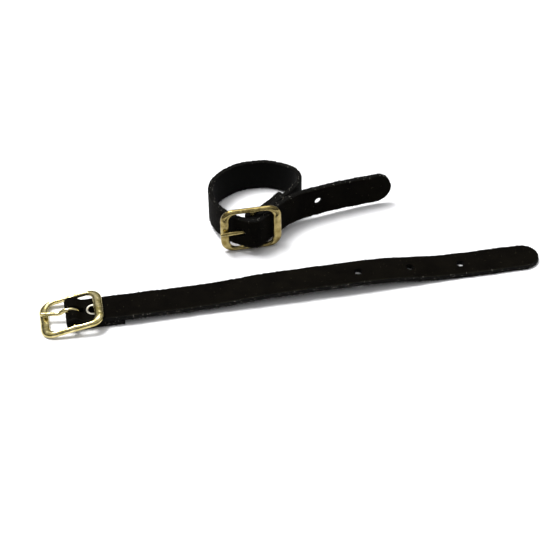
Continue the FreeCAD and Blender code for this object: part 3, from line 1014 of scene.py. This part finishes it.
class Shank(Enum):
    """How a tongue leaves its eye: stepped up over the fold, or straight."""

    STEPPED = "stepped"
    STRAIGHT = "straight"


@dataclass
class Buckle:
    """Cast centre-bar frame and its wire tongue. X runs along the strap from the centre bar, Y
    across it and Z out of the grain side, in millimetres."""

    letter: str
    lay: Lay
    tilt: float
    shank: Shank
    front: float = 15.8
    rear: float = 14.2
    front_bar: float = 4.3
    rear_bar: float = 4.3
    rail: float = 2.25
    half_wide: float = 11.8
    corner: float = 6.0
    thick: float = 2.4
    top: float = 1.772
    bar: float = 2.4
    wire: float = 2.0
    eye_gap: float = 0.08  # between the tongue's eye and the centre bar
    skew: float = 0.0  # the tongue's sideways lean towards its tip, as its eye is loose on the bar
    boss: float = 0.55  # how far the rails swell inwards where the centre bar joins them

    def at(self, x: float, y: float, z: float) -> Vector:
        """The point of the row frame for a point of the buckle."""
        c, s = math.cos(self.tilt), math.sin(self.tilt)
        return self.lay.at(x * c - z * s, -(x * s + z * c), y)

    def outline(self, inner: bool) -> list[tuple[float, float]]:
        """One closed outline of the frame, seen from above, with the same count for both outlines.

        Args:
            inner: Whether it is the window's outline.

        Returns:
            The outline's points.
        """
        cut = self.rail if inner else 0.0
        high_x = self.rear - (self.rear_bar if inner else 0.0)
        low_x = -(self.front - (self.front_bar if inner else 0.0))
        half, radius = self.half_wide - cut, self.corner - cut
        corners = ((high_x - radius, half - radius, 0), (low_x + radius, half - radius, 90),
                   (low_x + radius, radius - half, 180), (high_x - radius, radius - half, 270))
        arcs = [[(x + radius * math.cos(math.radians(start + 90 * i / 12)),
                  y + radius * math.sin(math.radians(start + 90 * i / 12))) for i in range(13)]
                for x, y, start in corners]
        points = []
        for i, arc in enumerate(arcs):
            after = arcs[(i + 1) % 4][0]
            steps = 30 if i % 2 == 0 else 10
            points += arc
            points += [(arc[-1][0] + (after[0] - arc[-1][0]) * k / steps,
                        arc[-1][1] + (after[1] - arc[-1][1]) * k / steps) for k in range(1, steps)]
        return points

    def frame(self, material: bpy.types.Material) -> bpy.types.Object:
        """Builds the cast frame: a ridged ring, wide outer slope and narrow inner bevel, with the
        centre bar across it.

        Args:
            material: Its finish.

        Returns:
            The frame.
        """
        profile = ((0.24, 0.0), (0.06, 0.2), (0.0, 0.4), (0.0, 0.6), (0.06, 0.78), (0.2, 0.94), (0.36, 1.0),
                   (0.52, 0.985), (0.72, 0.87), (0.9, 0.66), (1.0, 0.42), (1.0, 0.16), (0.92, 0.0))
        points, faces = [], []
        inner, outer = self.outline(True), self.outline(False)
        for (xi, yi), (xo, yo) in zip(inner, outer):
            swell = math.exp(-(xi / 1.7) ** 2) if abs(yi) > self.half_wide - self.rail - 0.01 else 0.0
            yi -= math.copysign(self.boss * swell, yi)
            for share, high in profile:
                z = self.top - self.thick + high * (self.thick + (0.2 * swell if high > 0.5 else 0.0))
                points.append(self.at(xi + (xo - xi) * share, yi + (yo - yi) * share, z))
        n, rings = len(profile), len(inner)
        for ring in range(rings):
            a, b = ring * n, (ring + 1) % rings * n
            faces += [(a + k, a + (k + 1) % n, b + (k + 1) % n, b + k) for k in range(n)]
        half = self.half_wide - self.rail / 2
        route = [self.at(0, y, 0) for y in (-half, -half * 0.5, 0, half * 0.5, half)]
        bar_points, bar_faces = sweep(route, [self.bar / 2] * len(route),
                                      self.at(1, 0, 0) - self.at(0, 0, 0), 24)
        base = len(points)
        faces += [tuple(base + i for i in face) for face in bar_faces]
        mesh = outward(make_mesh(f"buckle_{self.letter}_frame", points + bar_points, faces))
        mesh.materials.append(material)
        thing = new_object(mesh.name, mesh)
        rounded = thing.modifiers.new("rounded", "SUBSURF")
        rounded.levels = rounded.render_levels = 1
        apply_modifiers(thing)
        smooth(thing.data, 60)
        return thing

    def tongue(self, material: bpy.types.Material) -> bpy.types.Object:
        """Builds the wire tongue, with a rounded nose and an eye bent round the centre bar.

        Args:
            material: Its finish.

        Returns:
            The tongue.
        """
        radius = self.wire / 2
        eye = self.bar / 2 + self.eye_gap + radius
        if self.shank is Shank.STEPPED:
            shank = [(-14.7, 3.5), (-13.8, 3.45), (-12.2, 3.2), (-10.0, 2.75), (-8.2, 2.35), (-6.8, 2.1),
                     (-5.7, 2.1), (-4.8, 2.45), (-3.9, 2.95), (-2.9, 3.2), (-1.7, 3.2)]
            over = [(-0.6, 3.0), (0.5, 2.5)]
        else:
            shank = [(-16.45, 2.98), (-15.2, 2.94), (-13.8, 2.88), (-11.0, 2.76), (-8.0, 2.63), (-5.0, 2.5),
                     (-2.4, 2.38)]
            over = [(-1.1, 2.31), (0.2, 2.28)]
        degrees = range(45, -196, -15) if self.shank is Shank.STEPPED else range(75, -206, -15)
        ring = [(eye * math.cos(math.radians(a)), eye * math.sin(math.radians(a))) for a in degrees]
        line = spline(shank + over + ring)
        route = [self.at(x, self.skew * max(0.0, -2.0 - x), z) for x, z in line]
        radii = []
        for x, _ in line:
            nose = max(0.0, 1 - (x - line[0][0]) / radius) if x < -13 else 0.0
            radii.append(radius * math.sqrt(max(0.1, 1 - nose ** 2)))
        points, faces = sweep(route, radii, self.lay.across)
        mesh = outward(make_mesh(f"buckle_{self.letter}_tongue", points, faces))
        mesh.materials.append(material)
        smooth(mesh, 60)
        return new_object(mesh.name, mesh)


@dataclass
class Rivet:
    """Tubular rivet: a rolled ring on the grain side, a barrel and a base disc on the flesh side."""

    letter: str
    flange: float = 3.5
    barrel: float = 2.48
    bore: float = 2.4
    tall: float = 5.0

    def build(self, face: Vector, axis: Vector, material: bpy.types.Material,
              bore: bpy.types.Material) -> bpy.types.Object:
        """Builds the rivet.

        Args:
            face: Where its axis meets the grain side.
            axis: Its direction, out of the grain side.
            material: Its finish.
            bore: Near-black material of the barrel's inside, painted shade of the hollow barrel.

        Returns:
            The rivet.
        """
        low = 0.1 - self.tall
        profile = [
            (0.0, low + 0.34), (self.bore * 0.8, low + 0.36), (self.bore, low + 0.6),
            (self.bore, -0.5), (self.bore, -0.22), (self.bore + 0.1, -0.02),
            (self.bore + 0.4, 0.09), (self.bore + 0.8, 0.1), (self.flange - 0.42, 0.05),
            (self.flange - 0.12, -0.08), (self.flange, -0.24), (self.flange - 0.05, -0.38),
            (self.barrel, -0.39), (self.barrel, low + 0.5), (self.flange - 0.05, low + 0.49),
            (self.flange, low + 0.36), (self.flange - 0.14, low + 0.16),
            (self.flange - 0.6, low + 0.04), (self.flange * 0.5, low), (0.0, low)]
        sides = 64
        across = axis.orthogonal().normalized()
        beside = axis.cross(across)
        points: list[Vector] = []
        for radius, high in profile:
            points += circle(face + axis * high, across, beside, radius, sides)
        faces = tube_faces(sides, len(profile), capped=False)
        mesh = outward(make_mesh(f"rivet_{self.letter}_rolled", points, faces))
        mesh.materials.append(material)
        mesh.materials.append(bore)
        # faces inside the barrel get the near-black material: painted shade of the hollow
        reach = (self.bore + 0.02) * MM
        for polygon in mesh.polygons:
            from_face = polygon.center - face * MM
            height = from_face.dot(axis)
            inside = (from_face - axis * height).length < reach
            polygon.material_index = int(inside and -self.tall + 0.3 < height / MM < -0.2)
        smooth(mesh, 50)
        return new_object(mesh.name, mesh)


# ---------------------------------------------------------------- straps
@dataclass
class Workshop:
    """The finishes and the fibre scatter that both straps share."""

    leather: list[bpy.types.Material]
    fibres: EdgeFibres
    nickel: bpy.types.Material
    # near-black material for the barrel's inside: painted shade
    bore_shade: bpy.types.Material

    @classmethod
    def open(cls) -> "Workshop":
        """Builds the shared finishes."""
        leather = [GrainLeather("waxed_bridle_leather_grain", "leather_black").build(),
                   FleshLeather("napped_leather_flesh_side", "leather_black").build(),
                   CutEdgeLeather("raw_cut_leather_edge", "leather_black").build()]
        fibres = EdgeFibres(material=LooseFibre("loose_leather_fibre", "leather_black").build())
        fibres.build()
        # painted shade: a near-black nickel for the inside of the hollow barrel, standing in for the shade
        # there
        bore_shade = Nickel("painted_shade_barrel_bore", "nickel", bright="#2e2b26", dull="#15130f")
        return cls(leather, fibres, Nickel("dulled_nickel_plate", "nickel").build(), bore_shade.build())


@dataclass
class Stretch:
    """One piece of a strap: where it lies, what is punched in it and the bodies and stations of the joint
    that it spans.
    """

    name: str
    start: float
    stop: float
    bodies: tuple[str, str] | None = None
    bend: tuple[float, float] = (0.0, 0.0)
    holes: tuple[int, ...] = ()
    nodes: tuple[str, ...] = ()


@dataclass
class Strap:
    """A strap with its buckle and rivet, riding on the frame's bodies."""

    letter: str
    workshop: Workshop
    lay: Lay
    root: str
    sizes: StrapSizes = field(default_factory=StrapSizes)
    seed: float = 0.0

    def line(self) -> Centreline:
        """The leather's centreline."""
        raise NotImplementedError

    def stretches(self) -> list[Stretch]:
        """The pieces that the leather is made in, from the tab to the tip."""
        raise NotImplementedError

    def turned(self) -> float:
        """Turn of the fold about the centre bar."""
        return 0.0

    def extra_cuts(self, band: Band) -> None:
        """Punches that only this strap has, in its first piece."""

    def make_leather(self) -> None:
        """Builds, punches and dresses the leather, and gives the pieces without a joint to the strap's root
        body.
        """
        line = self.line()
        band = Band(self.sizes, line, self.lay, self.workshop.leather, self.seed)
        face, way = band.rivet_axis()
        s = self.sizes
        for number, stretch in enumerate(self.stretches()):
            piece = band.loft(stretch.name, stretch.start, stretch.stop)
            if number == 0:
                band.slot_cutter(self.turned())
                band.round_cutter(face, way, s.rivet_hole, s.cut_low, s.cut_high)
                band.round_cutter(face, way, s.rivet_seat, s.ring_seat, s.cut_high)
                band.round_cutter(face, way, s.rivet_seat, s.cut_low, s.base_seat)
                self.extra_cuts(band)
            for hole in stretch.holes:
                band.hole_cutter(s.hole(hole))
            if band.cutters:
                band.cut(piece)
            smooth(piece.data)
            self.workshop.fibres.grow(piece, int(10 * self.seed) + number)
            if stretch.bodies:
                ends = [self.middle(line, place) for place in stretch.bend]
                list(stretch.bodies)
                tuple(ends[0])
                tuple(ends[1])
                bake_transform(piece)
            else:
                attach(piece, self.root)
            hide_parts(*stretch.nodes)
            LOG.info("%s: %d faces", piece.name, len(piece.data.polygons))

    def middle(self, line: Centreline, station: float) -> tuple[float, float, float]:
        """The row frame's point, in metres, in the middle of the leather at a station."""
        x, y, _ = line.at(station)
        return tuple(self.lay.at(x, y, 0) * MM)

    def make_rivet(self) -> None:
        """Builds the rivet."""
        band = Band(self.sizes, self.line(), self.lay, self.workshop.leather)
        (x, y), way = band.rivet_axis()
        rivet = Rivet(self.letter).build(self.lay.at(x, y, 0), self.lay.direction(*way), self.workshop.nickel,
                                          self.workshop.bore_shade)
        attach(rivet, self.root)
        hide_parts(f"rivet_{self.letter}")
        LOG.info("%s: %d faces", rivet.name, len(rivet.data.polygons))

    def make_buckle(self, buckle: Buckle, finish: Brass, frame_body: str, tongue_body: str) -> None:
        """Builds the buckle's frame and tongue.

        Args:
            buckle: The buckle's sizes and place.
            finish: Its brass.
            frame_body: Body that the frame rides on.
            tongue_body: Body that the tongue rides on.
        """
        material = finish.build()
        for piece, body, node in ((buckle.frame(material), frame_body, f"buckle_{self.letter}"),
                                  (buckle.tongue(material), tongue_body, f"tongue_{self.letter}")):
            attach(piece, body)
            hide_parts(node)
            LOG.info("%s: %d faces", piece.name, len(piece.data.polygons))


@dataclass
class OpenStrap(Strap):
    """Strap A: flat tab, a shallow dip behind it, a low arch and a flat tip."""

    arch: float = 3.8
    dip: float = 2.0
    tilt: float = math.radians(11.18277)
    joins: tuple[float, float] = (130.5, 156.2)  # stations between pieces, clear of the tongue holes
    long_bend: float = 10.0  # half length of the span round each of the first two joints
    short_bend: float = 6.9  # half length of the other spans, clear of the tongue holes

    def line(self) -> Centreline:
        """The leather's centreline."""
        s = self.sizes
        line = s.fold(-0.02, 2.48)
        line.run(s.tab + 3 - (line.length - line.zero))
        line.ease(30, s.layer_step - self.dip).ease(45, self.dip - self.arch).run(32).ease(60, self.arch)
        return line.run(s.reach - (line.length - line.zero))

    def stretches(self) -> list[Stretch]:
        """Five pieces, each spanning one joint."""
        s = self.sizes
        bodies = ["strap_a_end"] + [f"strap_a_flex_{i}" for i in range(1, 6)]
        lead = s.first_hole - s.hole_pitch / 2
        hinges = [lead / 3, lead * 2 / 3, lead, lead + s.hole_pitch, lead + 2 * s.hole_pitch]
        cuts = [-self.line().zero, lead / 2, lead * 5 / 6, *self.joins, s.reach]
        holes = {3: (1,), 4: (2, 3)}
        pieces = []
        for i, hinge in enumerate(hinges):
            half = self.long_bend if i < 2 else self.short_bend
            pieces.append(Stretch(
                f"strap_a_leather_{i + 1}", cuts[i], cuts[i + 1], (bodies[i], bodies[i + 1]),
                (hinge - half, hinge + half), holes.get(i, ()), (bodies[i + 1],)))
        pieces[0].nodes = ("strap_a_end", "strap_a_flex_1")
        return pieces


@dataclass
class BuckledStrap(Strap):
    """Strap B: round the wrist, under both bars of its buckle and out, on its lower edge."""

    exit: float = math.radians(42.883444)
    entry: float = math.radians(37.645131)
    lead_out: float = 31.8273
    side: float = 13.0
    back: float = 24.47820
    back_turn: float = 2.34697
    front: float = 30.0
    lead_in: float = 2.50483
    hump: float = 5.03
    under_bar: float = 14.70787
    curl: float = 35.0
    ease: float = 260.0
    eye: float = 2.28
    tongue_slope: float = 0.0441812
    punch_reach: float = 11.8  # how far the first hole's punch goes along the tongue
    split: float = 164.2  # station where the free end starts
    tail_bend: tuple[float, float] = (165.0, 175.4)  # stations round the free end's joint

    def turned(self) -> float:
        """Turn of the fold about the centre bar."""
        return self.exit

    def line(self) -> Centreline:
        """The leather's centreline."""
        s = self.sizes
        line = s.fold(-s.fold_mid, s.layer_step - s.fold_mid, self.exit)
        line.run(self.lead_out).arc(self.side, math.pi / 2).arc(self.back, self.back_turn)
        line.arc(self.front, math.radians(55)).run(self.lead_in).arc(self.hump, self.entry + self.exit)
        line.run(self.under_bar).arc(self.curl, -math.radians(30)).arc(self.ease, -math.radians(8))
        return line.run(s.reach - (line.length - line.zero))

    def stretches(self) -> list[Stretch]:
        """The loop, and the free end, which spans its joint."""
        zero = self.line().zero
        return [Stretch("strap_b_leather_loop", -zero, self.split, holes=(2,), nodes=("strap_b_loop",)),
                Stretch("strap_b_leather_tail", self.split, self.sizes.reach, ("strap_b", "strap_b_tail"),
                        self.tail_bend, (3,), ("strap_b_tail",))]

    def extra_cuts(self, band: Band) -> None:
        """Punches the first hole along the tongue, which pulls it aslant."""
        way = (-math.cos(self.tongue_slope), -math.sin(self.tongue_slope))
        band.round_cutter((0.0, -self.eye), way, self.sizes.hole_wide / 2, 0.0, self.punch_reach)


# ---------------------------------------------------------------- studio
@dataclass
class Studio:
    """Pale floor, soft light and the camera."""

    target: tuple[float, float, float] = (-6.72, -23.45, 0.0)
    distance: float = 700.0
    elevation: float = math.radians(41.79)
    yaw: float = math.radians(11.34)
    lens: float = 95.63

    def camera(self) -> None:
        """Places the camera."""
        made = bpy.data.cameras.new("camera")
        made.lens = self.lens
        made.sensor_width = 36
        made.clip_start, made.clip_end = 0.01, 20
        back = Vector((-math.sin(self.yaw) * math.cos(self.elevation),
                       -math.cos(self.yaw) * math.cos(self.elevation), math.sin(self.elevation)))
        stand = bpy.data.objects.new("camera", made)
        stand.location = (Vector(self.target) + back * self.distance) * MM
        stand.rotation_euler = (-back).to_track_quat("-Z", "Y").to_euler()
        bpy.context.scene.collection.objects.link(stand)
        bpy.context.scene.camera = stand

    def floor(self) -> None:
        """Lays the floor, with the faintest unevenness of paper."""
        size = 2500.0
        corners = ((-size, -size), (size, -size), (size, size), (-size, size))
        mesh = make_mesh("paper_floor", [Vector((x, y, 0)) for x, y in corners], [(0, 1, 2, 3)])
        material = bpy.data.materials.new("matt_white_paper")
        material.use_nodes = True
        tree = material.node_tree
        shader = tree.nodes["Principled BSDF"]
        place = add_node(tree, "ShaderNodeTexCoord").outputs["Object"]
        grain = add_node(tree, "ShaderNodeTexNoise", inputs={"Vector": place, "Scale": 400.0, "Detail": 3.0})
        tint = add_ramp(tree, grain.outputs["Fac"], [(0.3, "#f3f3f5"), (0.7, "#f6f6f7")])
        feed(tree, shader, {"Base Color": tint, "Roughness": 0.9, "Specular IOR Level": 0.1})
        mesh.materials.append(material)
        new_object("paper_floor", mesh)

    def lights(self) -> None:
        """Sets a soft key from behind and left, a broad overhead fill and a pale room."""
        key = bpy.data.lights.new("key", "SUN")
        key.energy = 3.0
        key.angle = math.radians(24)
        lamp = bpy.data.objects.new("key", key)
        lamp.rotation_euler = Vector((0.3, -0.3, -1.0)).to_track_quat("-Z", "Y").to_euler()
        bpy.context.scene.collection.objects.link(lamp)
        top = bpy.data.lights.new("overhead", "AREA")
        top.shape = "RECTANGLE"
        top.size, top.size_y = 0.7, 0.5
        top.energy = 3.0
        panel = bpy.data.objects.new("overhead", top)
        panel.location = (-0.1, 0.25, 0.75)
        panel.rotation_euler = (Vector((0, -0.03, 0)) - panel.location).to_track_quat("-Z", "Y").to_euler()
        bpy.context.scene.collection.objects.link(panel)
        world = bpy.data.worlds.new("room")
        world.use_nodes = True
        tree = world.node_tree
        tree.nodes.clear()
        up = add_node(tree, "ShaderNodeSeparateXYZ", inputs={
            "Vector": add_node(tree, "ShaderNodeTexCoord").outputs["Generated"]})
        sky = add_ramp(tree, up.outputs["Z"], [(0.0, 0.05), (0.3, 0.12), (0.7, 0.66)])
        seen = add_node(tree, "ShaderNodeLightPath")
        tone = add_node(tree, "ShaderNodeMix", {"data_type": "RGBA"}, {
            0: seen.outputs["Is Camera Ray"], 6: sky, 7: (0.92, 0.92, 0.93, 1.0)})
        ground = add_node(tree, "ShaderNodeBackground", inputs={"Color": tone.outputs[2], "Strength": 1.0})
        add_node(tree, "ShaderNodeOutputWorld", inputs={"Surface": ground.outputs["Background"]})
        bpy.context.scene.world = world
        bpy.context.scene.view_settings.view_transform = "Standard"

    def build(self) -> None:
        """Builds the whole studio."""
        self.camera()
        self.floor()
        self.lights()


def main() -> None:
    """Builds both straps over the frame, and the studio round them."""
    logging.basicConfig(level=logging.INFO, format="%(name)s: %(message)s")
    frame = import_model()
    joints = {joint["name"]: joint for joint in frame["record"]["behaviour"]["joints"]}
    Studio().build()
    workshop = Workshop.open()

    lay_a = Lay.from_axis(joints["tongue_a_open"]["pos_m"], joints["tongue_a_open"]["axis"])
    strap_a = OpenStrap("a", workshop, lay_a, "strap_a_end", seed=1.0)
    strap_a.make_leather()
    strap_a.make_rivet()
    strap_a.make_buckle(Buckle("a", lay_a, strap_a.tilt, Shank.STEPPED, skew=0.12),
                        Brass("polished_cast_brass", "brass_polished"), "buckle_a", "tongue_a")

    lay_b = Lay.from_axis(joints["tongue_b_lift"]["pos_m"], joints["tongue_b_lift"]["axis"])
    strap_b = BuckledStrap("b", workshop, lay_b, "strap_b", seed=2.0)
    strap_b.make_leather()
    strap_b.make_rivet()
    antique = Brass("antiqued_cast_brass", "brass_antique", bright="#a09160", dull="#6f6036",
                    tarnish="#33250f", tarnished=0.68, roughness=0.2)
    strap_b.make_buckle(Buckle("b", lay_b, 0.0, Shank.STRAIGHT), antique, "strap_b", "tongue_b")


if __name__ == "__main__":
    main()
